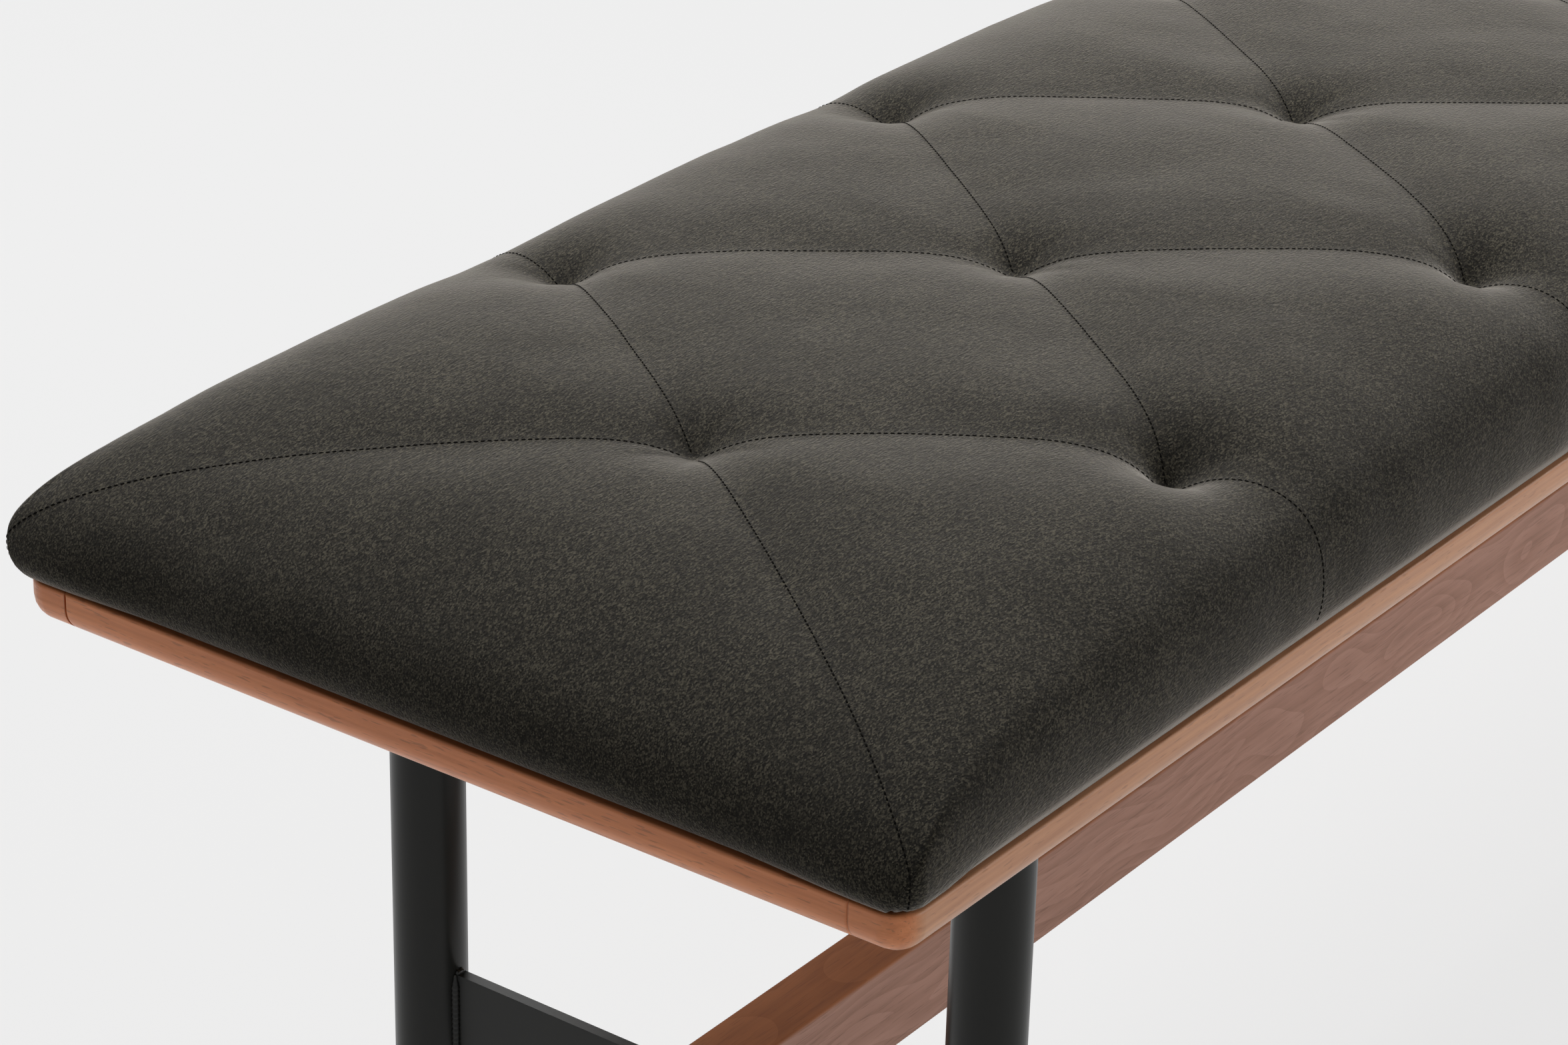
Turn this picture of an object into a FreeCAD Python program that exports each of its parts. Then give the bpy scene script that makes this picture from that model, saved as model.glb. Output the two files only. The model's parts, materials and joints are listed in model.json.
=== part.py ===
import FreeCAD, Part
import os
import re

import Sketcher
from FreeCAD import Placement, Rotation, Vector

# A dining bench: a tufted seat pad on a wooden base, two steel leg frames and a wooden stretcher.
# Lengths are in millimetres. X runs along the bench, Y from its front to its rear, Z up.
# The origin is on the floor, under the middle of the seat.
# Left is towards -X, front is towards -Y.

doc = FreeCAD.newDocument("dining_bench")

SIZES = {
    # Whole bench
    "seat_length": 1700,
    "seat_depth": 420,
    "base_height": 395,
    # Wooden base: a plywood panel with solid lippings on its four edges
    "base_thickness": 18,
    "lipping_width": 24,
    "lipping_lower_radius": 11,
    "lipping_corner_margin": 1,
    "lipping_upper_radius": 1.5,
    "spline_thickness": 5,
    "spline_width": 16,
    "spline_end_margin": 40,
    "corner_dowel_diameter": 6,
    "corner_dowel_length": 22,
    "joint_clearance": 0.1,
    # Seat pad: board, foam and cover
    "pad_inset": 3,
    "pad_board_margin": 4,
    "pad_board_thickness": 12,
    "cover_thickness": 1.6,
    "cover_flap_width": 38,
    "cushion_clearance": 0.3,
    "cushion_corner_radius": 8,
    "cushion_rim_margin": 3,
    "cushion_bulge": 5,
    "crown_height": 81,
    # Tufts: a middle row and two side rows, half a pitch apart
    "tuft_end_distance": 155,
    "tuft_side_offset": 148,
    "tuft_half_width": 2,
    "tuft_gap_count": 6,
    "tie_diameter": 3,
    "tie_clearance": 1,
    "anchor_diameter": 14,
    "anchor_thickness": 2.5,
    # Staples that hold the cover's flap to the board
    "staple_width": 10,
    "staple_wire": 0.8,
    "staple_leg_length": 6,
    "staple_edge_distance": 20,
    "staple_end_margin": 70,
    "staples_per_long_side": 24,
    "staples_per_end": 5,
    # Screws that hold the pad to the base
    "pad_screw_diameter": 4.5,
    "pad_screw_length": 28,
    "pad_screw_head_diameter": 9,
    "pad_screw_head_height": 2.6,
    "pad_screw_tip_length": 4,
    "pad_screw_recess_width": 3.5,
    "pad_screw_recess_depth": 1.8,
    "pad_screw_row_offset": 118,
    # Leg frames
    "leg_diameter": 32,
    "leg_wall": 2,
    "leg_end_inset": 160,
    "leg_side_inset": 67.5,
    "weld_gap": 0.1,
    "top_bar_width": 50,
    "top_bar_thickness": 5,
    "top_bar_overhang": 40,
    "top_bar_corner_radius": 6,
    "crossbar_top_height": 171,
    "crossbar_height": 45,
    "crossbar_thickness": 5,
    "glide_flange_thickness": 4,
    "glide_stem_length": 18,
    "glide_chamfer": 2.5,
    "glide_clearance": 0.15,
    # Bolts of the leg frames, with their inserts in the panel
    "bolt_diameter": 6,
    "bolt_clearance": 0.25,
    "bolt_head_diameter": 10.5,
    "bolt_head_height": 3.3,
    "bolt_socket_width": 4,
    "bolt_socket_depth": 2,
    "bolt_tip_chamfer": 0.6,
    "leg_bolt_length": 16,
    "leg_bolt_row_offset": 15,
    "leg_bolt_line_offset": 95,
    "insert_diameter": 10,
    "insert_length": 12,
    "insert_hole_spare": 1,
    # Stretcher beam, with its bolts and barrel nuts
    "beam_width": 30,
    "beam_height": 45,
    "beam_edge_radius": 1.5,
    "beam_bolt_length": 60,
    "beam_bolt_spacing": 22,
    "beam_bore_spare": 3,
    "barrel_diameter": 10,
    "barrel_length": 16,
    "barrel_setback": 45,
    "barrel_slot_width": 1.6,
    "barrel_slot_depth": 1.5,
    # How far a cutting shape passes the face that it cuts
    "cut_overrun": 1,
}

DERIVED = {
    "panel_length": "seat_length - 2 * lipping_width",
    "panel_depth": "seat_depth - 2 * lipping_width",
    "lipping_corner_radius": "lipping_lower_radius + lipping_corner_margin",
    "base_underside": "base_height - base_thickness",
    "base_middle": "base_height - base_thickness / 2",
    "board_underside": "base_height + cover_thickness",
    "board_length": "seat_length - 2 * pad_inset - 2 * pad_board_margin",
    "board_depth": "seat_depth - 2 * pad_inset - 2 * pad_board_margin",
    "board_corner_radius": "cushion_corner_radius - pad_board_margin",
    "rim_height": "cover_thickness + pad_board_thickness + cushion_rim_margin",
    "tuft_pitch": "(seat_length - 2 * tuft_end_distance) / tuft_gap_count",
    "leg_axis_x": "seat_length / 2 - leg_end_inset",
    "leg_axis_y": "seat_depth / 2 - leg_side_inset",
    "top_bar_underside": "base_underside - top_bar_thickness",
    "top_bar_length": "2 * leg_axis_y + 2 * top_bar_overhang",
    "leg_length": "top_bar_underside - glide_flange_thickness",
    "leg_bore": "leg_diameter - 2 * leg_wall",
    "crossbar_underside": "crossbar_top_height - crossbar_height",
    "crossbar_outer_face": "leg_axis_x + crossbar_thickness / 2",
    "beam_end": "leg_axis_x - crossbar_thickness / 2",
    "beam_underside": "crossbar_top_height - beam_height",
    "beam_middle": "beam_underside + beam_height / 2",
    "barrel_place": "beam_end - barrel_setback",
    "thread_bore": "bolt_diameter + 2 * joint_clearance",
}

# Bolt head: how much of its width is flat, and how high its straight rim is
BOLT_FLAT_SHARE = 0.55
BOLT_RIM_SHARE = 0.4

# Pad screws: places along the bench as shares of the legs' distance from the middle
PAD_SCREW_SHARES = (-0.8, -0.4, 0, 0.4, 0.8)

# Cushion heights are shares of the rise from its rim to its crown.
# End of the cushion: share of the way to the first tuft, then shoulder, seam and crown.
END_SHARES = (
    (0, 0.02, 0.04, 0.06),
    (0.03, 0.07, 0.09, 0.11),
    (0.07, 0.14, 0.17, 0.21),
    (0.13, 0.22, 0.28, 0.33),
    (0.21, 0.29, 0.38, 0.44),
    (0.33, 0.35, 0.48, 0.555),
    (0.45, 0.39, 0.55, 0.635),
    (0.56, 0.42, 0.60, 0.69),
    (0.67, 0.44, 0.645, 0.72),
    (0.79, 0.46, 0.66, 0.71),
    (0.90, 0.475, 0.59, 0.62),
)
# Between two middle tufts: share of the pitch, then the seam's height
SEAM_SHARES = (
    (0, 0.52),
    (0.08, 0.78),
    (0.25, 0.88),
    (0.42, 0.76),
    (0.50, 0.46),
    (0.58, 0.76),
    (0.75, 0.88),
    (0.92, 0.78),
)
# Towards the first and last tufts, within one pitch, the cushion is lower by up to this share
END_DROP_SHARE = 0.09
SHOULDER_SHARE = 0.575
# The shoulder stands in from the side by a share of its height, and the bulge is highest at a share
SHOULDER_INSET_SHARE = 0.15
BULGE_HEIGHT_SHARE = 0.4
# A pillow beside the seams rises by a share of its width
PILLOW_RISE_SHARE = 0.10

ALONG_X = Rotation(Vector(0, 1, 0), 90)
AGAINST_X = Rotation(Vector(0, 1, 0), -90)
ALONG_Y = Rotation(Vector(1, 0, 0), -90)
UPRIGHT = Rotation()
HALF_TURN = Rotation(Vector(0, 0, 1), 180)
QUARTER_TURN = Rotation(Vector(0, 0, 1), 90)

# The driving sizes are plain numbers in one sheet, and what follows from them is in another.
sizes = doc.addObject("Spreadsheet::Sheet", "sizes")
for row, (name, number) in enumerate(SIZES.items(), 1):
    sizes.set(f"A{row}", name)
    sizes.set(f"B{row}", str(number))
    sizes.setAlias(f"B{row}", name)
doc.recompute()

CELLS = {name: f"sizes.{name}" for name in SIZES}


def formula(text):
    """A formula of named sizes, written with their cells."""
    return re.sub(r"[a-z_]+", lambda word: CELLS.get(word[0], word[0]), text)


derived = doc.addObject("Spreadsheet::Sheet", "derived")
for row, (name, text) in enumerate(DERIVED.items(), 1):
    derived.set(f"A{row}", name)
    derived.set(f"B{row}", "=" + formula(text))
    derived.setAlias(f"B{row}", name)
    doc.recompute()
    CELLS[name] = name
CELLS.update({name: f"derived.{name}" for name in DERIVED})


def value(text):
    """The number that a formula of named sizes gives."""
    return float(sizes.evalExpression(formula(text)))


def bind(item, **formulas):
    """Bind properties of an item to formulas of named sizes."""
    for name, text in formulas.items():
        item.setExpression(name, formula(text))


def place(item, x="0", y="0", z="0", turn=UPRIGHT):
    """Turn an item about its own origin, then put that origin at a place given by formulas."""
    item.Placement = Placement(Vector(), turn)
    for axis, text in zip("xyz", (x, y, z)):
        item.setExpression(f"Placement.Base.{axis}", formula(text))


def box(name, length, depth, height, x="0", y="0", z="0"):
    """A block centred over a place, standing on it."""
    item = doc.addObject("Part::Box", name)
    bind(item, Length=length, Width=depth, Height=height)
    place(item, f"{x} - ({length}) / 2", f"{y} - ({depth}) / 2", z)
    return item


def rod(name, diameter, length, x="0", y="0", z="0", turn=UPRIGHT):
    """A round rod that starts at a place and runs up, or the way that it is turned."""
    item = doc.addObject("Part::Cylinder", name)
    bind(item, Radius=f"({diameter}) / 2", Height=length)
    place(item, x, y, z, turn)
    return item


def hexagon(name, width, height, z):
    """A hexagonal block, its size given across the flats."""
    item = doc.addObject("Part::Prism", name)
    item.Polygon = 6
    bind(item, Circumradius=f"{width} / sqrt(3)", Height=height)
    place(item, z=z)
    return item


def group(name, items):
    """Separate solids kept together."""
    item = doc.addObject("Part::Compound", name)
    item.Links = items
    return item


def copies(name, master, places, turn=UPRIGHT):
    """Copies of one piece at places given as formulas."""
    links = []
    for number, spot in enumerate(places, 1):
        link = doc.addObject("App::Link", f"{name}_{number}")
        link.LinkedObject = master
        link.LinkTransform = False
        place(link, *spot, turn)
        links.append(link)
    return group(name, links)


def cut(name, base, *tools):
    """A piece less the tools, taken away one after the other."""
    for number, tool in enumerate(tools, 1):
        last = number == len(tools)
        item = doc.addObject("Part::Cut", name if last else f"{name}_cut_{number}")
        item.Base = base
        item.Tool = tool
        base = item
    return base


def new_body(name):
    return doc.addObject("PartDesign::Body", name)


def new_sketch(body, role):
    """A sketch on one of the body's own origin planes."""
    plane = next(part for part in body.Origin.OriginFeatures if part.Role == role)
    sketch = body.newObject("Sketcher::SketchObject", f"{body.Name}_sketch")
    sketch.AttachmentSupport = [(plane, "")]
    sketch.MapMode = "FlatFace"
    return sketch


def fix_point(sketch, item, end, spot):
    """Hold one point of a sketch at a place given by two formulas."""
    for kind, text in zip(("DistanceX", "DistanceY"), spot):
        constraint = Sketcher.Constraint(kind, -1, 1, item, end, value(text))
        number = sketch.addConstraint(constraint)
        sketch.setExpression(f"Constraints[{number}]", formula(text))


def draw_outline(sketch, points):
    """A closed outline of straight lines through points given as formulas."""
    corners = [Vector(value(across), value(up), 0) for across, up in points]
    ends = corners[1:] + corners[:1]
    lines = [sketch.addGeometry(Part.LineSegment(a, b)) for a, b in zip(corners, ends)]
    for line, following in zip(lines, lines[1:] + lines[:1]):
        sketch.addConstraint(Sketcher.Constraint("Coincident", line, 2, following, 1))
    for line, point in zip(lines, points):
        fix_point(sketch, line, 1, point)


def draw_rectangle(sketch, across, up):
    """A rectangle between two formulas across and two up."""
    (left, right), (low, high) = across, up
    draw_outline(sketch, ((left, low), (right, low), (right, high), (left, high)))


def draw_circle(sketch, diameter, spot=("0", "0")):
    centre = Vector(value(spot[0]), value(spot[1]), 0)
    radius = f"({diameter}) / 2"
    item = sketch.addGeometry(Part.Circle(centre, Vector(0, 0, 1), value(radius)))
    fix_point(sketch, item, 3, spot)
    number = sketch.addConstraint(Sketcher.Constraint("Radius", item, value(radius)))
    sketch.setExpression(f"Constraints[{number}]", formula(radius))


def pad(body, sketch, length, both_ways=False):
    item = body.newObject("PartDesign::Pad", f"{body.Name}_pad")
    item.Profile = sketch
    bind(item, Length=length)
    if both_ways:
        item.SideType = "Symmetric"
    return item


def turned(name, points):
    """A round piece: an outline of radii and heights, turned about Z."""
    body = new_body(name)
    sketch = new_sketch(body, "XZ_Plane")
    draw_outline(sketch, points)
    item = body.newObject("PartDesign::Revolution", f"{name}_turned")
    item.Profile = sketch
    item.ReferenceAxis = (sketch, ["V_Axis"])
    return body


def round_edges(body, radius, chosen):
    """Round those edges of the body's last feature that are chosen."""
    doc.recompute()
    base = body.Tip
    names = [f"Edge{n}" for n, edge in enumerate(base.Shape.Edges, 1) if chosen(edge)]
    item = body.newObject("PartDesign::Fillet", f"{body.Name}_round")
    item.Base = (base, names)
    bind(item, Radius=radius)


def is_upright(edge):
    box_of_edge = edge.BoundBox
    return box_of_edge.ZLength > max(box_of_edge.XLength, box_of_edge.YLength)


pieces = {}


def piece(item):
    """Keep an item as one named piece of the bench."""
    item.Label = item.Name
    pieces[item.Name] = item
    return item


SIDES = (("left", -1), ("right", 1))
ROWS = (("front", -1), ("rear", 1))


# Base: splines and dowels, and the slots and holes that they sit in

long_spline = ("panel_length - 2 * spline_end_margin", "spline_width", "spline_thickness")
end_spline = ("spline_width", "panel_depth - 2 * spline_end_margin", "spline_thickness")


def spline_pair(name, size, x, y):
    """A loose tongue and the slot around it."""
    loose = [f"{text} + 2 * joint_clearance" for text in size]
    spline = box(name, *size, x, y, "base_middle - spline_thickness / 2")
    low = "base_middle - spline_thickness / 2 - joint_clearance"
    return piece(spline), box(f"{name}_slot", *loose, x, y, low)


slots = {}
for row, sign in ROWS:
    _, slots[row] = spline_pair(f"{row}_spline", long_spline, "0", f"{sign} * panel_depth / 2")
for side, sign in SIDES:
    _, slots[side] = spline_pair(f"{side}_spline", end_spline, f"{sign} * panel_length / 2", "0")

dowels = []
dowel_holes = []
for side, x_sign in SIDES:
    for row, y_sign in ROWS:
        x = f"{x_sign} * (seat_length - lipping_width) / 2"
        y = f"{y_sign} * panel_depth / 2"
        start = f"{y} - corner_dowel_length / 2"
        name = f"{side}_{row}_dowel"
        dowels.append(
            rod(name, "corner_dowel_diameter", "corner_dowel_length", x, start, "base_middle", ALONG_Y)
        )
        dowel_holes.append(
            rod(
                f"{name}_hole",
                "corner_dowel_diameter + 2 * joint_clearance",
                "corner_dowel_length + 2 * joint_clearance",
                x,
                f"{start} - joint_clearance",
                "base_middle",
                ALONG_Y,
            )
        )
piece(group("corner_dowels", dowels))
corner_holes = group("corner_dowel_holes", dowel_holes)


# Base: lippings, the long ones over the full length and the end ones between them


def long_lipping(row, turn):
    inner = "-panel_depth / 2"
    body = new_body(f"{row}_lipping_blank")
    sketch = new_sketch(body, "XY_Plane")
    draw_rectangle(sketch, ("-seat_length / 2", "seat_length / 2"), ("-seat_depth / 2", inner))
    pad(body, sketch, "base_thickness")
    middle_y = value(f"{inner} - lipping_width / 2")
    outer_y = value(f"{inner} - (lipping_width - lipping_corner_radius) / 4")
    middle_z = value("base_thickness / 2")
    round_edges(
        body,
        "lipping_corner_radius",
        lambda edge: is_upright(edge) and edge.CenterOfMass.y < middle_y,
    )
    round_edges(
        body,
        "lipping_lower_radius",
        lambda edge: edge.BoundBox.ZMax < middle_z and edge.CenterOfMass.y < outer_y,
    )
    round_edges(
        body,
        "lipping_upper_radius",
        lambda edge: edge.BoundBox.ZMin > middle_z and edge.CenterOfMass.y < outer_y,
    )
    place(body, z="base_underside", turn=turn)
    return piece(cut(f"{row}_lipping", body, slots[row], corner_holes))


def end_lipping(side, turn):
    outer, inner = "-seat_length / 2", "-panel_length / 2"
    body = new_body(f"{side}_lipping_blank")
    sketch = new_sketch(body, "XY_Plane")
    draw_rectangle(sketch, (outer, inner), ("-panel_depth / 2", "panel_depth / 2"))
    pad(body, sketch, "base_thickness")
    middle_x = value(f"{inner} - lipping_width / 2")
    middle_z = value("base_thickness / 2")
    round_edges(
        body,
        "lipping_lower_radius",
        lambda edge: edge.BoundBox.XMax < middle_x and edge.BoundBox.ZMax < middle_z,
    )
    round_edges(
        body,
        "lipping_upper_radius",
        lambda edge: edge.BoundBox.XMax < middle_x and edge.BoundBox.ZMin > middle_z,
    )
    place(body, z="base_underside", turn=turn)
    return piece(cut(f"{side}_lipping", body, slots[side], corner_holes))


long_lipping("front", UPRIGHT)
long_lipping("rear", HALF_TURN)
end_lipping("left", UPRIGHT)
end_lipping("right", HALF_TURN)


# Screws: those of the pad, with the holes that they need


def drive_recess(name, width, depth, z):
    return hexagon(name, width, f"{depth} + cut_overrun", f"{z} - cut_overrun")


pad_screw_blank = turned(
    "pad_screw_blank",
    (
        ("0", "0"),
        ("pad_screw_head_diameter / 2", "0"),
        ("pad_screw_diameter / 2", "pad_screw_head_height"),
        ("pad_screw_diameter / 2", "pad_screw_length - pad_screw_tip_length"),
        ("0", "pad_screw_length"),
    ),
)
pad_screw = cut(
    "pad_screw",
    pad_screw_blank,
    drive_recess("pad_screw_recess", "pad_screw_recess_width", "pad_screw_recess_depth", "0"),
)
pad_screw_hole = turned(
    "pad_screw_hole",
    (
        ("0", "-cut_overrun"),
        ("pad_screw_head_diameter / 2 + joint_clearance", "-cut_overrun"),
        ("pad_screw_head_diameter / 2 + joint_clearance", "0"),
        ("pad_screw_diameter / 2 + joint_clearance", "pad_screw_head_height"),
        ("pad_screw_diameter / 2 + joint_clearance", "pad_screw_length + joint_clearance"),
        ("0", "pad_screw_length + joint_clearance"),
    ),
)
pad_screw_places = [
    (f"{share} * leg_axis_x", f"{sign} * pad_screw_row_offset", "base_underside")
    for share in PAD_SCREW_SHARES
    for _, sign in ROWS
]
piece(copies("pad_screws", pad_screw, pad_screw_places))
pad_screw_holes = copies("pad_screw_holes", pad_screw_hole, pad_screw_places)


# Bolts with a low round head and a hexagonal socket


def bolt(name, length):
    shank = "bolt_diameter / 2"
    head = "bolt_head_diameter / 2"
    blank = turned(
        f"{name}_blank",
        (
            ("0", "-bolt_head_height"),
            (f"{BOLT_FLAT_SHARE} * {head}", "-bolt_head_height"),
            (head, f"-{BOLT_RIM_SHARE} * bolt_head_height"),
            (head, "0"),
            (shank, "0"),
            (shank, f"{length} - bolt_tip_chamfer"),
            (f"{shank} - bolt_tip_chamfer", length),
            ("0", length),
        ),
    )
    recess = drive_recess(
        f"{name}_recess", "bolt_socket_width", "bolt_socket_depth", "-bolt_head_height"
    )
    return cut(name, blank, recess)


leg_bolt = bolt("leg_bolt", "leg_bolt_length")
beam_bolt = bolt("beam_bolt", "beam_bolt_length")

insert = turned(
    "insert",
    (
        ("thread_bore / 2", "0"),
        ("insert_diameter / 2", "0"),
        ("insert_diameter / 2", "insert_length"),
        ("thread_bore / 2", "insert_length"),
    ),
)
insert_hole = rod(
    "insert_hole",
    "insert_diameter + 2 * joint_clearance",
    "insert_length + insert_hole_spare + cut_overrun",
)


# Leg frames: two tubes, a bar across their tops and a bar on edge between them

bolt_grid = [
    (f"{along} * leg_bolt_row_offset", f"{across} * leg_bolt_line_offset")
    for along in (-1, 1)
    for across in (-1, 0, 1)
]
glide = turned(
    "glide",
    (
        ("0", "0"),
        ("leg_diameter / 2 - glide_chamfer", "0"),
        ("leg_diameter / 2", "glide_chamfer"),
        ("leg_diameter / 2", "glide_flange_thickness"),
        ("leg_bore / 2 - glide_clearance", "glide_flange_thickness"),
        (
            "leg_bore / 2 - glide_clearance",
            "glide_flange_thickness + glide_stem_length - glide_chamfer",
        ),
        (
            "leg_bore / 2 - glide_clearance - glide_chamfer",
            "glide_flange_thickness + glide_stem_length",
        ),
        ("0", "glide_flange_thickness + glide_stem_length"),
    ),
)


def leg_tube(name, x, y):
    body = new_body(name)
    sketch = new_sketch(body, "XY_Plane")
    draw_circle(sketch, "leg_diameter")
    draw_circle(sketch, "leg_bore")
    pad(body, sketch, "leg_length")
    place(body, x, y, "glide_flange_thickness")
    return piece(body)


def top_bar(name, x):
    body = new_body(name)
    sketch = new_sketch(body, "XY_Plane")
    draw_rectangle(
        sketch,
        ("-top_bar_width / 2", "top_bar_width / 2"),
        ("-top_bar_length / 2", "top_bar_length / 2"),
    )
    for spot in bolt_grid:
        draw_circle(sketch, "bolt_diameter + 2 * bolt_clearance", spot)
    pad(body, sketch, "top_bar_thickness")
    wide = value("bolt_diameter")
    round_edges(
        body,
        "top_bar_corner_radius",
        lambda edge: is_upright(edge)
        and abs(edge.CenterOfMass.y) > value("leg_bolt_line_offset") + wide,
    )
    place(body, x, "0", "top_bar_underside")
    return piece(body)


def crossbar(side, x):
    """The bar on edge, its ends hollowed to sit against the tubes."""
    body = new_body(f"{side}_crossbar_blank")
    sketch = new_sketch(body, "YZ_Plane")
    draw_rectangle(sketch, ("-leg_axis_y", "leg_axis_y"), ("0", "crossbar_height"))
    middle = "beam_middle - crossbar_underside"
    for sign in (-1, 1):
        spot = ("0", f"{middle} + {sign} * beam_bolt_spacing / 2")
        draw_circle(sketch, "bolt_diameter + 2 * bolt_clearance", spot)
    pad(body, sketch, "crossbar_thickness", both_ways=True)
    place(body, x, "0", "crossbar_underside")
    hollows = [
        rod(
            f"{side}_{row}_hollow",
            "leg_diameter + 2 * weld_gap",
            "crossbar_height + 2 * cut_overrun",
            x,
            f"{sign} * leg_axis_y",
            "crossbar_underside - cut_overrun",
        )
        for row, sign in ROWS
    ]
    return piece(cut(f"{side}_crossbar", body, group(f"{side}_hollows", hollows)))


insert_holes = []
for side, sign in SIDES:
    x = f"{sign} * leg_axis_x"
    for row, y_sign in ROWS:
        y = f"{y_sign} * leg_axis_y"
        leg_tube(f"{side}_{row}_leg", x, y)
        piece(copies(f"{side}_{row}_glide", glide, [(x, y, "0")]))
    top_bar(f"{side}_top_bar", x)
    crossbar(side, x)
    spots = [(f"{x} + {along}", across) for along, across in bolt_grid]
    bolt_places = [(*spot, "top_bar_underside") for spot in spots]
    insert_places = [(*spot, "base_underside") for spot in spots]
    hole_places = [(*spot, "base_underside - cut_overrun") for spot in spots]
    piece(copies(f"{side}_leg_bolts", leg_bolt, bolt_places))
    piece(copies(f"{side}_leg_inserts", insert, insert_places))
    insert_holes.append(copies(f"{side}_insert_holes", insert_hole, hole_places))

panel_blank = box(
    "base_panel_blank", "panel_length", "panel_depth", "base_thickness", z="base_underside"
)
piece(cut("base_panel", panel_blank, *slots.values(), *insert_holes, pad_screw_holes))


# Stretcher: a beam between the two crossbars, drawn up to them by bolts in barrel nuts

beam_blank = new_body("stretcher_beam_blank")
beam_sketch = new_sketch(beam_blank, "YZ_Plane")
draw_rectangle(beam_sketch, ("-beam_width / 2", "beam_width / 2"), ("0", "beam_height"))
pad(beam_blank, beam_sketch, "2 * beam_end", both_ways=True)
round_edges(
    beam_blank,
    "beam_edge_radius",
    lambda edge: edge.BoundBox.XLength > value("beam_end"),
)
place(beam_blank, z="beam_underside")

barrel = cut(
    "barrel_nut",
    rod("barrel_nut_blank", "barrel_diameter", "barrel_length", turn=ALONG_Y),
    rod(
        "barrel_nut_bore",
        "thread_bore",
        "barrel_diameter + 2 * cut_overrun",
        "-barrel_diameter / 2 - cut_overrun",
        "barrel_length / 2",
        turn=ALONG_X,
    ),
    box(
        "barrel_nut_slot",
        "barrel_diameter + 2 * cut_overrun",
        "2 * barrel_slot_depth",
        "barrel_slot_width",
        "0",
        "barrel_length",
        "-barrel_slot_width / 2",
    ),
)
barrel_hole = rod(
    "barrel_hole",
    "barrel_diameter + 2 * joint_clearance",
    "(beam_width + barrel_length) / 2 + joint_clearance + cut_overrun",
)
bolt_hole = rod(
    "beam_bolt_hole",
    "bolt_diameter + 2 * bolt_clearance",
    "beam_bolt_length - crossbar_thickness + beam_bore_spare + cut_overrun",
)

beam_holes = []
for side, sign in SIDES:
    turn = ALONG_X if sign < 0 else AGAINST_X
    heights = [f"beam_middle + {up} * beam_bolt_spacing / 2" for up in (-1, 1)]
    face = f"{sign} * crossbar_outer_face"
    start = f"{sign} * (beam_end + cut_overrun)"
    nut = f"{sign} * barrel_place"
    piece(copies(f"{side}_beam_bolts", beam_bolt, [(face, "0", z) for z in heights], turn))
    piece(
        copies(f"{side}_barrel_nuts", barrel, [(nut, "-barrel_length / 2", z) for z in heights])
    )
    beam_holes.append(
        copies(f"{side}_beam_bolt_holes", bolt_hole, [(start, "0", z) for z in heights], turn)
    )
    beam_holes.append(
        copies(
            f"{side}_barrel_holes",
            barrel_hole,
            [(nut, "-barrel_length / 2 - joint_clearance", z) for z in heights],
            ALONG_Y,
        )
    )
piece(cut("stretcher_beam", beam_blank, *beam_holes))


# Tufts: a tie through each, held by a disc under the board

middle_tufts = [
    (f"-seat_length / 2 + tuft_end_distance + {n} * tuft_pitch", "0")
    for n in range(int(value("tuft_gap_count")) + 1)
]
side_tufts = [
    (f"{x} + tuft_pitch / 2", f"{sign} * tuft_side_offset")
    for x, _ in middle_tufts[:-1]
    for _, sign in ROWS
]


def height(share):
    """Height above the base at a share of the rise from the cushion's rim to its crown."""
    return f"(rim_height + {share} * (crown_height - rim_height))"


MIDDLE_SHARE = SEAM_SHARES[0][1]
SIDE_SHARE = min(share for _, share in SEAM_SHARES)


def tie(name, tuft_height):
    """A length of twine, from the disc to just under the cover."""
    under = "cover_thickness + anchor_thickness"
    return rod(name, "tie_diameter", f"{tuft_height} - cover_thickness - cushion_clearance - ({under})")


anchor = rod("tuft_anchor", "anchor_diameter", "anchor_thickness")
recess = rod(
    "anchor_recess",
    "anchor_diameter + 2 * joint_clearance",
    "anchor_thickness + joint_clearance + cut_overrun",
)
tie_hole = rod("tie_hole", "tie_diameter + 2 * tie_clearance", "crown_height")

tuft_spots = middle_tufts + side_tufts
tie_foot = "board_underside + anchor_thickness"
ties = []
for name, share, spots in (
    ("middle_tie", MIDDLE_SHARE, middle_tufts[1:-1]),
    ("end_tie", MIDDLE_SHARE - END_DROP_SHARE, middle_tufts[:1] + middle_tufts[-1:]),
    ("side_tie", SIDE_SHARE, side_tufts[2:-2]),
    ("end_side_tie", SIDE_SHARE - END_DROP_SHARE / 2, side_tufts[:2] + side_tufts[-2:]),
):
    ties += copies(f"{name}s", tie(name, height(share)), [(*s, tie_foot) for s in spots]).Links
piece(group("tuft_ties", ties))
piece(copies("tuft_anchors", anchor, [(*s, "board_underside") for s in tuft_spots]))
anchor_recesses = copies(
    "anchor_recesses", recess, [(*s, "board_underside - cut_overrun") for s in tuft_spots]
)
tie_holes = copies("tie_holes", tie_hole, [(*s, "board_underside") for s in tuft_spots])


# Staples: a crown across the flap and two legs up into the board

staple = doc.addObject("Part::MultiFuse", "staple")
staple.Shapes = [
    box("staple_crown", "staple_width", "staple_wire", "staple_wire"),
    *(
        box(
            f"staple_{side}_leg",
            "staple_wire",
            "staple_wire",
            "staple_leg_length",
            f"{sign} * (staple_width - staple_wire) / 2",
        )
        for side, sign in SIDES
    ),
]


def spread(length, count):
    """Places along a side, as formulas: evenly spaced between two end margins."""
    run = f"({length} - 2 * staple_end_margin)"
    return [f"({n} / {count - 1} - 1 / 2) * {run}" for n in range(count)]


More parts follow.
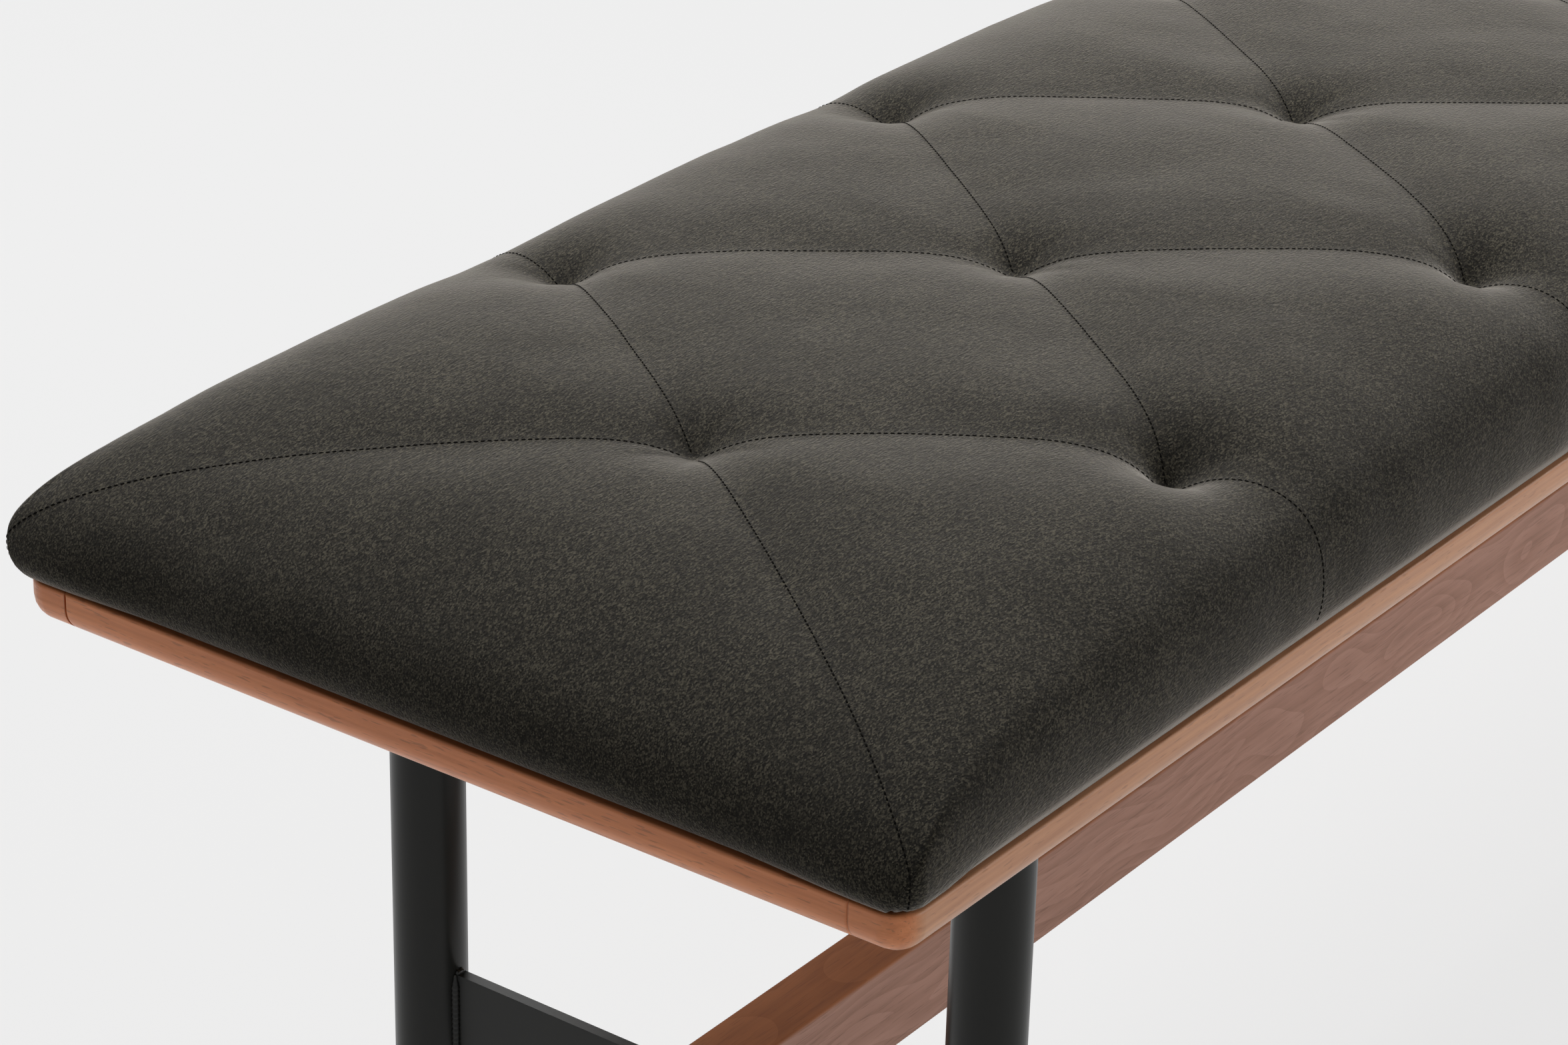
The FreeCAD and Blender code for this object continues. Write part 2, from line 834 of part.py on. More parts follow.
staple_line_x = "board_length / 2 - staple_edge_distance"
staple_line_y = "board_depth / 2 - staple_edge_distance"
along_sides = copies(
    "side_staples",
    staple,
    [
        (x, f"{sign} * ({staple_line_y})", "base_height")
        for x in spread("board_length", int(value("staples_per_long_side")))
        for _, sign in ROWS
    ],
)
along_ends = copies(
    "end_staples",
    staple,
    [
        (f"{sign} * ({staple_line_x})", y, "base_height")
        for y in spread("board_depth", int(value("staples_per_end")))
        for _, sign in SIDES
    ],
    QUARTER_TURN,
)
staples = piece(group("cover_staples", along_sides.Links + along_ends.Links))


# Pad board

board_blank = new_body("pad_board_blank")
board_sketch = new_sketch(board_blank, "XY_Plane")
draw_rectangle(
    board_sketch,
    ("-board_length / 2", "board_length / 2"),
    ("-board_depth / 2", "board_depth / 2"),
)
pad(board_blank, board_sketch, "pad_board_thickness")
round_edges(board_blank, "board_corner_radius", is_upright)
place(board_blank, z="board_underside")
piece(cut("pad_board", board_blank, anchor_recesses, tie_holes, pad_screw_holes, staples))


# Cushion: stations along the bench, each a section with its seams as valleys between arcs

doc.recompute()


def half_width_at(distance):
    """Half the pad's depth at a distance from its end, drawn in at the rounded corners."""
    radius = value("cushion_corner_radius")
    full = value("seat_depth / 2 - pad_inset")
    if distance >= radius:
        return full
    return full - radius + (radius**2 - (radius - distance) ** 2) ** 0.5


def end_stations():
    """Stations from the end of the pad to just before the first tuft."""
    run = value("tuft_end_distance - pad_inset")
    for along, shoulder, seam, crown in END_SHARES:
        distance = along * run
        half_width = half_width_at(distance)
        shoulder_height = value(height(shoulder))
        limit = half_width - SHOULDER_INSET_SHARE * shoulder_height - value("tuft_half_width")
        offset = min((1 - along) * value("seat_depth / 2"), limit)
        yield (
            distance,
            half_width,
            shoulder_height,
            max(offset, value("tuft_half_width")),
            value(height(seam)),
            value(height(crown)),
        )


def middle_stations():
    """Stations from the first tuft to the last."""
    first = value("tuft_end_distance - pad_inset")
    narrow, wide = value("tuft_half_width"), value("tuft_side_offset")
    half_width = value("seat_depth / 2 - pad_inset")
    gaps = int(value("tuft_gap_count"))
    places = [(gap + along, seam) for gap in range(gaps) for along, seam in SEAM_SHARES]
    places.append((gaps, SEAM_SHARES[0][1]))
    for along, seam in places:
        open_share = 1 - abs(2 * (along % 1) - 1)
        offset = narrow + (wide - narrow) * open_share
        crown = seam + (1 - seam) * (1 - (1 - offset / wide) ** 3)
        drop = END_DROP_SHARE * max(0, 1 - along, 1 - (gaps - along))
        yield (
            first + along * value("tuft_pitch"),
            half_width,
            value(height(SHOULDER_SHARE - drop)),
            offset,
            value(height(seam - drop)),
            value(height(crown - drop)),
        )


pad_length = value("seat_length - 2 * pad_inset")
left_end = list(end_stations())
right_end = [(pad_length - row[0], *row[1:]) for row in reversed(left_end)]
stations = left_end + list(middle_stations()) + right_end


def set_in(rows, inset):
    """The stations with the two ends brought in."""

    def between(outer, inner):
        share = inset / abs(inner[0] - outer[0])
        return tuple(a + share * (b - a) for a, b in zip(outer, inner))

    return [between(rows[0], rows[1]), *rows[1:-1], between(rows[-1], rows[-2])]


def cushion_section(station, inset):
    """One section as a closed wire, set in from the cushion's surface."""
    distance, half_width, shoulder, offset, seam, crown = station
    x = distance - pad_length / 2
    side = half_width - inset
    ledge = side - SHOULDER_INSET_SHARE * shoulder
    bulge = value("cushion_bulge") * shoulder / value(height(SHOULDER_SHARE))
    shoulder, seam, crown = shoulder - inset, seam - inset, crown - inset
    pillow = (shoulder + seam) / 2 + PILLOW_RISE_SHARE * (ledge - offset)

    def spot(y, z):
        return Vector(x, y, z)

    def mirrored(points):
        return [Vector(p.x, -p.y, p.z) for p in reversed(points)]

    flank = [
        spot(side, inset),
        spot(side + bulge, inset + BULGE_HEIGHT_SHARE * (shoulder - inset)),
        spot(ledge, shoulder),
    ]
    slope = [flank[2], spot((ledge + offset) / 2, pillow), spot(offset, seam)]
    top = [slope[2], spot(0, crown), spot(-offset, seam)]
    arcs = [flank, slope, top, mirrored(slope), mirrored(flank)]
    edges = [Part.Arc(*points).toShape() for points in arcs]
    edges.append(Part.makeLine(arcs[-1][2], flank[0]))
    return Part.Wire(edges)


def cushion(inset):
    """The cushion's solid, set in from its surface."""
    rows = set_in(stations, inset) if inset else stations
    return Part.makeLoft([cushion_section(row, inset) for row in rows], True, True)


def soft(name, shape):
    """A soft piece whose shape is worked out from the sizes, on the base."""
    item = doc.addObject("Part::Feature", name)
    item.Shape = shape
    place(item, z="base_height")
    return item


inside = soft("cushion_inside", cushion(value("cover_thickness")))
filling = soft("cushion_filling", cushion(value("cover_thickness + cushion_clearance")))
outside = soft("cushion_outside", cushion(0))
window = box(
    "cover_window",
    "seat_length - 2 * pad_inset - 2 * cover_flap_width",
    "seat_depth - 2 * pad_inset - 2 * cover_flap_width",
    "cover_thickness + 2 * cut_overrun",
    z="base_height - cut_overrun",
)
board_room = new_body("board_room")
room_sketch = new_sketch(board_room, "XY_Plane")
draw_rectangle(
    room_sketch,
    ("-board_length / 2 - cushion_clearance", "board_length / 2 + cushion_clearance"),
    ("-board_depth / 2 - cushion_clearance", "board_depth / 2 + cushion_clearance"),
)
pad(board_room, room_sketch, "pad_board_thickness + cover_thickness")
round_edges(board_room, "board_corner_radius", is_upright)
place(board_room, z="base_height")
piece(cut("seat_foam", filling, board_room, tie_holes))
piece(cut("seat_cover", outside, inside, window, staples))

doc.recompute()

# Nothing is written unless every object and every piece is sound
for item in doc.Objects:
    faults = {"Invalid", "Error"} & set(item.State)
    if faults:
        raise RuntimeError(f"{item.Name}: {faults}")
for name, item in pieces.items():
    if item.Shape.isNull() or not item.Shape.isValid() or not item.Shape.Solids:
        raise RuntimeError(f"{name}: its shape is not sound")

os.makedirs("parts", exist_ok=True)
for name, item in pieces.items():
    item.Shape.exportStep(f"parts/{name}.step")
    print(f"{name}: {len(item.Shape.Solids)} solids, {item.Shape.Volume:.0f} mm3")
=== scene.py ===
import json
import math

import bmesh
import bpy
import numpy as np
from mathutils import Matrix, Vector
from mathutils.bvhtree import BVHTree


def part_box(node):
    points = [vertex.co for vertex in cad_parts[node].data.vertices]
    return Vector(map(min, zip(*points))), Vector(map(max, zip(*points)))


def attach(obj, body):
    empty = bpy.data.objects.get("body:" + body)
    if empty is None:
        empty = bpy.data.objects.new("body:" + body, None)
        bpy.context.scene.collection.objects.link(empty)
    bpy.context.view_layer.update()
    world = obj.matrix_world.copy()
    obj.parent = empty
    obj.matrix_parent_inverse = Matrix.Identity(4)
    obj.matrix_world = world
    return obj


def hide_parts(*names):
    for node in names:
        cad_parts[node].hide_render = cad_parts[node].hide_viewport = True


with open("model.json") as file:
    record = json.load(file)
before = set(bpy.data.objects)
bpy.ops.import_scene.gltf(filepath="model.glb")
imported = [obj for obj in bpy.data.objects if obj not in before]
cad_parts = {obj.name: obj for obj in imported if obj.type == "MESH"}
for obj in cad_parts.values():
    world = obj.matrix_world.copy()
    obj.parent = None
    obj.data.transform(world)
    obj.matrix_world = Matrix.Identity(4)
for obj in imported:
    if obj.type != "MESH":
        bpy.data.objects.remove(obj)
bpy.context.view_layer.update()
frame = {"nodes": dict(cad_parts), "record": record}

# A dining bench with a tufted velvet seat pad. The scene is in metres, in the frame of the solids:
# X along the bench, Y from front to rear, Z up, origin on the floor under the seat's middle.

scene = bpy.context.scene
scene.view_settings.view_transform = "Standard"

MM = 0.001

# Seat pad, in millimetres
SEAT_LENGTH = 1700.0
SEAT_DEPTH = 420.0
BASE_TOP = 395.0
PAD_FOOT = BASE_TOP + 0.6
PAD_INSET = 3.0
CORNER_RADIUS = 8.8

# Pad surface: the crown rises away from the ends, and the side and end profiles meet in a norm
CROWN = 70.9
CROWN_RISE, CROWN_RUN = 9.8, 620.0
SIDE_REACH, SIDE_POWER, SIDE_ROOT = 137.3, 2.84, 0.195
END_REACH, END_POWER, END_ROOT = 210.3, 2.26, 0.389
MEETING = 4.84
SLOPE_STEP, SLOPE_LIMIT = 0.4, 12

# The sides bulge over the base, most at the corners
BULGE, BULGE_TOP, BULGE_POWER = 5.2, 57.7, 0.62
CORNER_BULGE, CORNER_RUN, CORNER_TURN, CORNER_POWER = 7.5, 42.0, 72.0, 0.45
STEEP_SIDE = 0.9
RIM_HEIGHT = 6

# The seams draw the pad in, less and less towards its edge
SEAM_DEPTH, SEAM_SOFTNESS, PILLOW_REACH = 4.6, 4.0, 75.3
SEAM_FALL, SEAM_JOIN = 2.2, 4
CORNER_SEAM_LOW, CORNER_SEAM_GAIN = 0.12, 0.95
CORNER_SEAM_START, CORNER_SEAM_RUN = 8, 80
EDGE_SEAM_LOW, EDGE_SEAM_GAIN = 0.3, 4.8
EDGE_SEAM_RUN, EDGE_SEAM_REACH = 55, 60.0

# Tufts, the faint pleats round them, and the slow swell of the stuffing
TUFT_SPREAD, TUFT_SOFTNESS, TUFT_FALL = 19.0, 2.0, 1.15
PLEAT_PLACE, PLEAT_WIDTH, PLEAT_DEPTH = 20, 12, 0.10
SWELL_SIZE, FINE_SWELL_SIZE, SWELL_DEPTH = 46, 21, 0.45

# Tufts of half the bench: distance from the end and depth in the middle row, and between them
# distance from the end, depth in the front and the rear row, and where the seam meets the edge
MIDDLE_ROW = ((154.0, 10.5), (376.0, 11.5), (610.0, 11.5), (850.0, 11.5))
SIDE_ROWS = ((259.0, 20.0, 13.5, 274.0), (499.0, 15.5, 13.5, 504.0), (732.0, 15.5, 13.5, 735.0))
TUFT_SIDE = 152.0

# Mesh of the pad: its columns at the ends and between tufts, and its rows up to the zigzag seam,
# from there to a shelf beside the edge, and down the wall
END_ZONE, END_EASE = 46.0, 2.6
ZONE_COLUMNS, END_COLUMNS, TUFT_COLUMNS = 33, 39, 42
COLUMN_EASE = 0.10
INNER_ROWS, OUTER_ROWS, WALL_ROWS = 35, 43, 35
ROW_EASE, WALL_EASE = 1.25, 3.2
SEAM_INSET = 26.0
SHELF, SHELF_SHARE = 24.0, 0.35

# Stitches of the seams, with the place and the girth of each one's rings
STITCH_LENGTH, STITCH_GAP, STITCH_RADIUS = 1.8, 0.8, 0.37
STITCH_RINGS = ((-1.0, 0.35), (-0.55, 1.0), (0.55, 1.0), (1.0, 0.35))
STITCH_SIDES = 6
STITCH_MARGIN = 4
SEAM_SAMPLES, EDGE_SAMPLE_EASE = 1500, 5

# Welds, in metres
WELD, SHORT_WELD = 0.0022, 0.0018
WELD_STEP, RIPPLE_PITCH, RIPPLE = 0.0007, 0.0024, 0.10
WELD_TIP, WELD_TAPER = 0.35, 5
RING_RIPPLES = 44

# Wooden edge, in metres: where the long rails turn to end grain, and the line of the corner joint
END_GRAIN = (0.838, 0.8465)
JOINT_PLACE, JOINT_HALF, JOINT_START = 0.186, 0.0004, 0.826
EDGE_TINTS = (0.36, 0.64)
LONG_TONES = (0.68, 0.342, 0.183), (0.495, 0.215, 0.102)
LONG_FLECK = (0.24, 0.090, 0.042)
# The end tones are painted light: the long rails' same stained wood made brighter and more
# saturated, for the end faces that the lamps light less.
END_LIT_TONES = (0.85, 0.311, 0.124), (0.64, 0.199, 0.065)
END_FLECK = (0.13, 0.040, 0.018)
JOINT_TONE = (0.06, 0.022, 0.012)

# Stretcher: the heights, in metres, between which its sides turn to its top, which is tinted
# darker as painted shade under the seat
TOP_SHADE_SPAN = (0.1692, 0.1709)
TOP_SHADE_TINT = (0.77, 0.545, 0.32)

# Velvet: pile, ribs and nap per metre, and its sheen
PILE = (1300, 1750, 1750)
RIBS = (360, 1000, 1000)
NAP = 22
PILE_DARK, PILE_PALE = (0.0034, 0.0030, 0.0021), (0.078, 0.0695, 0.0500)
SHEEN_WEIGHT, SHEEN_ROUGHNESS, SHEEN_TINT = 0.97, 0.34, (0.95, 0.888, 0.812)

# Studio
AMBIENT, WORLD_SHOWN = 0.04, 0.80
FLOOR_REACH = 14.0
FLOOR_SHOWN, FLOOR_GLOW, GLOW_SHARE = 0.855, 0.985, 0.91
LAMP_TARGET = (-0.5, 0.0, 0.42)
LAMPS = (
    ("key", (0.6, -2.4, 1.5), (2.2, 1.4), 27.0),
    ("back", (0.2, 1.7, 2.7), (2.6, 1.4), 116.0),
    ("left", (-3.0, -0.3, 1.5), (1.6, 1.6), 2.5),
    ("right", (2.8, -0.6, 1.9), (1.6, 1.6), 22.0),
)


# Node helpers


class Graph:
    """A material's nodes, with short ways to add to them."""

    def __init__(self, name):
        self.material = bpy.data.materials.new(name)
        self.material.use_nodes = True
        self.tree = self.material.node_tree
        self.shader = self.tree.nodes["Principled BSDF"]

    def put(self, node, name, value):
        socket = node.inputs[name]
        if isinstance(value, bpy.types.NodeSocket):
            self.tree.links.new(value, socket)
        elif isinstance(value, tuple) and socket.type == "RGBA":
            socket.default_value = (*value[:3], 1.0)
        else:
            socket.default_value = value

    def node(self, kind, inputs=None, **settings):
        node = self.tree.nodes.new("ShaderNode" + kind)
        for name, value in settings.items():
            setattr(node, name, value)
        for name, value in (inputs or {}).items():
            self.put(node, name, value)
        return node

    def coords(self):
        return self.node("TexCoord").outputs["Object"]

    def mapped(self, vector, scale, location=(0, 0, 0), rotation=(0, 0, 0)):
        inputs = {"Vector": vector, "Scale": scale, "Location": location, "Rotation": rotation}
        return self.node("Mapping", inputs).outputs[0]

    def noise(self, vector, scale=1.0, detail=2.0, roughness=0.5, distortion=0.0):
        inputs = {
            "Vector": vector,
            "Scale": scale,
            "Detail": detail,
            "Roughness": roughness,
            "Distortion": distortion,
        }
        return self.node("TexNoise", inputs).outputs[0]

    def math(self, operation, a, b=0.0, c=0.0):
        return self.node("Math", {0: a, 1: b, 2: c}, operation=operation).outputs[0]

    def vector_math(self, operation, a, b):
        return self.node("VectorMath", {0: a, 1: b}, operation=operation).outputs[0]

    def weighted(self, *terms):
        """Sum of values, each times its weight."""
        total = None
        for value, weight in terms:
            term = self.math("MULTIPLY", value, weight)
            total = term if total is None else self.math("ADD", total, term)
        return total

    def ramp(self, factor, *stops):
        node = self.node("ValToRGB", {"Fac": factor})
        elements = node.color_ramp.elements
        while len(elements) < len(stops):
            elements.new(0.5)
        for element, (place, colour) in zip(elements, stops):
            element.position = place
            element.color = (*colour, 1.0)
        return node.outputs[0]

    def span(self, value, low, high, to_low=0.0, to_high=1.0):
        inputs = {0: value, 1: low, 2: high, 3: to_low, 4: to_high}
        return self.node("MapRange", inputs, interpolation_type="SMOOTHSTEP").outputs[0]

    def mix(self, factor, a, b, blend="MIX"):
        node = self.node("Mix", {0: factor}, data_type="RGBA", blend_type=blend)
        self.put(node, 6, a)
        self.put(node, 7, b)
        return node.outputs[2]

    def bump(self, height, strength, distance):
        inputs = {"Height": height, "Strength": strength, "Distance": distance}
        return self.node("Bump", inputs).outputs[0]

    def finish(self, **inputs):
        names = {"colour": "Base Color", "specular_level": "Specular IOR Level"}
        for name, value in inputs.items():
            self.put(self.shader, names.get(name, name.replace("_", " ").title()), value)
        return self.material


# Materials


def stained_wood(name, along, light, dark, fleck, shift=0.0, cap=None):
    """Close-grained stained wood: fine streaks, short dark flecks and a slow change of tone.

    A cap gives the end grain the light and dark end tones, painted light that brightens the wood
    there, with the line of the corner joint.
    """
    g = Graph(name)
    where = g.coords()

    def grain(axis):
        def stretched(lengthways, across):
            scale = [across] * 3
            scale["XYZ".index(axis)] = lengthways
            return g.mapped(where, tuple(scale), location=(shift, shift, shift))

        streak = g.noise(stretched(16, 420), detail=5, roughness=0.6)
        broad = g.noise(stretched(2.5, 26), detail=2)
        flecks = g.span(g.noise(stretched(110, 1100), detail=1), 0.62, 0.70)
        return streak, g.weighted((streak, 0.62), (broad, 0.38)), flecks

    def tones(tint, light, dark):
        return g.ramp(tint, (EDGE_TINTS[0], dark), (EDGE_TINTS[1], light))

    streak, tint, flecks = grain(along)
    colour = tones(tint, light, dark)
    if cap is not None:
        place = g.node("SeparateXYZ", {0: where})
        reach = g.math("ABSOLUTE", place.outputs[0])
        end = g.span(reach, *END_GRAIN)
        _, end_tint, end_flecks = grain("Y")
        # Painted light: the end grain takes the brighter end tones.
        colour = g.mix(end, colour, tones(end_tint, *cap))
        flecks = g.mix(end, flecks, end_flecks)
        aside = g.math("SUBTRACT", g.math("ABSOLUTE", place.outputs[1]), JOINT_PLACE)
        near = g.math("LESS_THAN", g.math("ABSOLUTE", aside), JOINT_HALF)
        line = g.math("MULTIPLY", near, g.math("GREATER_THAN", reach, JOINT_START))
        colour = g.mix(g.math("MULTIPLY", line, 0.3), colour, JOINT_TONE)
    colour = g.mix(g.math("MULTIPLY", flecks, 0.36), colour, fleck)
    relief = g.math("SUBTRACT", streak, g.math("MULTIPLY", flecks, 0.6))
    return g.finish(
        colour=colour,
        roughness=g.span(streak, 0.2, 0.8, 0.30, 0.44),
        normal=g.bump(relief, 0.12, 0.0003),
        coat_weight=0.08,
        coat_roughness=0.25,
        specular_level=0.35,
    )


def walnut(name):
    """Walnut: arched growth rings where they are cut at a slant, dark streaks and fine pores."""
    g = Graph(name)
    where = g.coords()
    wander = g.node("TexNoise", {"Vector": g.mapped(where, (3.0, 4, 4)), "Detail": 0.0}).outputs[1]
    bend = g.vector_math("SUBTRACT", wander, (0.5, 0.5, 0.5))
    bend = g.node("VectorMath", {0: bend, "Scale": 0.030}, operation="SCALE").outputs[0]
    bent = g.vector_math("ADD", where, bend)
    turned = g.mapped(bent, (1, 1, 1), location=(0, 0.030, -0.148), rotation=(0, 0.0, 0.035))
    rings = g.node(
        "TexWave",
        {"Vector": turned, "Scale": 48.0, "Distortion": 0.3, "Detail": 1.0, "Detail Scale": 1.0},
        wave_type="RINGS",
        rings_direction="X",
        wave_profile="SAW",
    ).outputs[1]
    streak = g.noise(g.mapped(where, (7, 260, 260)), detail=5, roughness=0.62)
    broad = g.noise(g.mapped(where, (3, 40, 40)), detail=2)
    pores = g.span(g.noise(g.mapped(where, (70, 1700, 1700)), detail=1), 0.60, 0.72)
    colour = g.ramp(
        g.weighted((rings, 0.14), (streak, 0.54), (broad, 0.34)),
        (0.26, (0.243, 0.119, 0.077)),
        (0.44, (0.398, 0.213, 0.154)),
        (0.60, (0.495, 0.277, 0.210)),
        (0.80, (0.568, 0.334, 0.260)),
    )
    # Painted shade: the top is tinted darker and more saturated, as the seat shades it.
    up = g.node("SeparateXYZ", {0: where}).outputs[2]
    shaded_top = g.mix(1.0, colour, TOP_SHADE_TINT, "MULTIPLY")
    colour = g.mix(g.span(up, *TOP_SHADE_SPAN), colour, shaded_top)
    colour = g.mix(g.math("MULTIPLY", pores, 0.35), colour, (0.12, 0.050, 0.028))
    relief = g.math("SUBTRACT", streak, g.math("MULTIPLY", pores, 0.7))
    return g.finish(
        colour=colour,
        roughness=g.span(streak, 0.2, 0.8, 0.50, 0.62),
        normal=g.bump(relief, 0.12, 0.0003),
        specular_level=0.25,
    )


def plywood(name):
    """Plain rotary-cut ply."""
    g = Graph(name)
    where = g.coords()
    grain = g.noise(g.mapped(where, (4, 70, 300)), detail=5, roughness=0.6, distortion=0.4)
    fine = g.noise(g.mapped(where, (40, 900, 900)), detail=2)
    tint = g.weighted((grain, 0.75), (fine, 0.25))
    return g.finish(
        colour=g.ramp(tint, (0.35, (0.30, 0.185, 0.105)), (0.65, (0.47, 0.33, 0.21))),
        roughness=g.span(fine, 0.2, 0.8, 0.55, 0.75),
        normal=g.bump(tint, 0.15, 0.0004),
    )


def coated_steel(name, shade):
    """Satin black powder coat with a fine orange-peel surface and faint wear in its tone."""
    g = Graph(name)
    where = g.coords()
    peel = g.noise(where, 950, detail=2)
    cloud = g.noise(where, 9, detail=3)
    dark = (shade * 0.92, shade * 0.96, shade * 0.80)
    worn = (shade * 1.30, shade * 1.36, shade * 1.12)
    return g.finish(
        colour=g.ramp(cloud, (0.3, dark), (0.7, worn)),
        roughness=g.span(cloud, 0.25, 0.75, 0.28, 0.36),
        normal=g.bump(peel, 0.06, 0.0003),
        specular_level=0.22,
    )


def shaded(g, factor, colour, share):
    """A colour, and a darker share of it where the factor is low."""
    return g.mix(factor, tuple(share * c for c in colour), colour)


def plain_metal(name, colour, roughness):
    """Drawn or plated metal with fine scratches."""
    g = Graph(name)
    lines = g.noise(g.mapped(g.coords(), (300, 300, 2600)), detail=2)
    return g.finish(
        colour=shaded(g, lines, colour, 0.85),
        roughness=g.span(lines, 0.2, 0.8, roughness - 0.08, roughness + 0.08),
        normal=g.bump(lines, 0.08, 0.0002),
        metallic=1.0,
    )


def moulded_plastic(name, colour):
    """Plastic with a fine moulded grain."""
    g = Graph(name)
    grain = g.noise(g.coords(), 1400, detail=2)
    return g.finish(
        colour=shaded(g, grain, colour, 0.85),
        roughness=g.span(grain, 0.3, 0.7, 0.45, 0.6),
        normal=g.bump(grain, 0.1, 0.0002),
    )


def twisted_fibre(name, colour):
    """Twine of coarse strands."""
    g = Graph(name)
    strands = g.noise(g.mapped(g.coords(), (900, 900, 300)), detail=2)
    return g.finish(
        colour=shaded(g, strands, colour, 0.6),
        roughness=0.9,
        normal=g.bump(strands, 0.3, 0.0004),
    )


def velvet(name):
    """Charcoal velvet: a short pile in fine ribs along the bench, with pale fibre ends."""
    g = Graph(name)
    where = g.coords()
    tips = g.node("TexVoronoi", {"Vector": g.mapped(where, PILE), "Scale": 1.0})
    tip = g.node("SeparateColor", {0: tips.outputs["Color"]}).outputs[0]
    ribs = g.noise(g.mapped(where, RIBS), detail=2, roughness=0.6)
    nap = g.noise(where, NAP, detail=2, distortion=0.4)
    pale = g.math("MULTIPLY", g.math("POWER", tip, 2.2), g.span(ribs, 0.3, 0.7, 0.5, 1.5))
    pale = g.math("MULTIPLY", pale, g.span(nap, 0.25, 0.75, 0.8, 1.2))
    return g.finish(
        colour=g.mix(pale, PILE_DARK, PILE_PALE),
        roughness=0.85,
        normal=g.bump(ribs, 0.40, 0.0009),
        sheen_weight=SHEEN_WEIGHT,
        sheen_roughness=SHEEN_ROUGHNESS,
        sheen_tint=SHEEN_TINT,
        specular_level=0.08,
    )


def sewing_thread(name):
    """Matt black thread."""
    g = Graph(name)
    strands = g.noise(g.coords(), 2500, detail=2)
    return g.finish(
        colour=g.ramp(strands, (0.3, (0.0020, 0.0018, 0.0015)), (0.7, (0.0060, 0.0055, 0.0045))),
        roughness=0.95,
        normal=g.bump(strands, 0.2, 0.0002),
        specular_level=0.05,
    )


# The end lippings and the long lippings' end grain take the painted-light end tones.
long_edge = stained_wood("edge_wood_long", "X", *LONG_TONES, LONG_FLECK, cap=END_LIT_TONES)
end_edge = stained_wood("edge_wood_end", "Y", *END_LIT_TONES, END_FLECK, 0.37)
beech = stained_wood("beech", "X", (0.62, 0.45, 0.29), (0.50, 0.34, 0.20), (0.38, 0.22, 0.12))
beam_wood = walnut("walnut_wood")
ply = plywood("plywood_sheet")
steel = coated_steel("black_coat", 0.0085)
bolt_steel = coated_steel("bolt_coat", 0.028)
zinc = plain_metal("zinc_plate", (0.60, 0.60, 0.60), 0.35)
brass = plain_metal("brass_metal", (0.72, 0.52, 0.22), 0.32)
glide_plastic = moulded_plastic("glide_plastic", (0.022, 0.022, 0.022))
disc_plastic = moulded_plastic("disc_plastic", (0.72, 0.72, 0.70))
twine = twisted_fibre("twine_fibre", (0.70, 0.66, 0.55))
cover_velvet = velvet("seat_velvet")
thread = sewing_thread("black_thread")

SLOT_MATERIALS = {
    "velvet": cover_velvet,
    "foam": twine,
    "plywood": ply,
    "stained_wood": long_edge,
    "beech": beech,
    "walnut": beam_wood,
    "black_steel": steel,
    "black_bolts": bolt_steel,
    "zinc_steel": zinc,
    "brass": brass,
    "black_plastic": glide_plastic,
    "white_plastic": disc_plastic,
    "twine": twine,
}


def dress(node, material):
    """Give a solid's object one material."""
    if not node.material_slots:
        node.data.materials.append(material)
    for place in node.material_slots:
        place.material = material


for row in frame["record"]["subparts"]:
    dress(frame["nodes"][row["node"]], SLOT_MATERIALS[row["material_slot"]])
for name in ("left_lipping", "right_lipping"):
    dress(frame["nodes"][name], end_edge)


# Seat pad

HALF_LENGTH = SEAT_LENGTH / 2 - PAD_INSET
HALF_DEPTH = SEAT_DEPTH / 2 - PAD_INSET
FIRST = MIDDLE_ROW[0][0] - PAD_INSET
CORNER = CORNER_RADIUS * (1 - math.sqrt(0.5))


def smooth(value):
    value = np.clip(value, 0, 1)
    return value * value * (3 - 2 * value)


def half_width(end):
    """Half the pad's depth at a distance from its end, drawn in at the rounded corners."""
    inside = np.clip(CORNER_RADIUS - end, 0, CORNER_RADIUS)
    return HALF_DEPTH - CORNER_RADIUS + np.sqrt(CORNER_RADIUS**2 - inside**2)


def base_height(x, y):
    """Height of the stuffed pad over its base, before the seams and tufts pull it down."""
    end = np.clip(HALF_LENGTH - np.abs(x), 0, None)
    side = np.clip(half_width(end) - np.abs(y), 0, None)
    across = (1 - np.clip(1 - side / SIDE_REACH, 0, 1) ** SIDE_POWER) ** SIDE_ROOT
    along = (1 - np.clip(1 - end / END_REACH, 0, 1) ** END_POWER) ** END_ROOT
    across = np.clip(across, 1e-4, 1)
    along = np.clip(along, 1e-4, 1)
    crown = CROWN + CROWN_RISE * smooth(end / CROWN_RUN)
    return crown * (across**-MEETING + along**-MEETING - 1) ** (-1 / MEETING)


def lattice_noise(x, y, seed):
    """Smooth noise between -1 and 1 on a unit lattice."""
    column, row = np.floor(x), np.floor(y)
    u, v = smooth(x - column), smooth(y - row)

    def corner(i, j):
        value = np.sin((column + i) * 127.1 + (row + j) * 311.7 + seed * 74.7) * 43758.5453
        return 2 * (value - np.floor(value)) - 1

    low = corner(0, 0) * (1 - u) + corner(1, 0) * u
    high = corner(0, 1) * (1 - u) + corner(1, 1) * u
    return low * (1 - v) + high * v


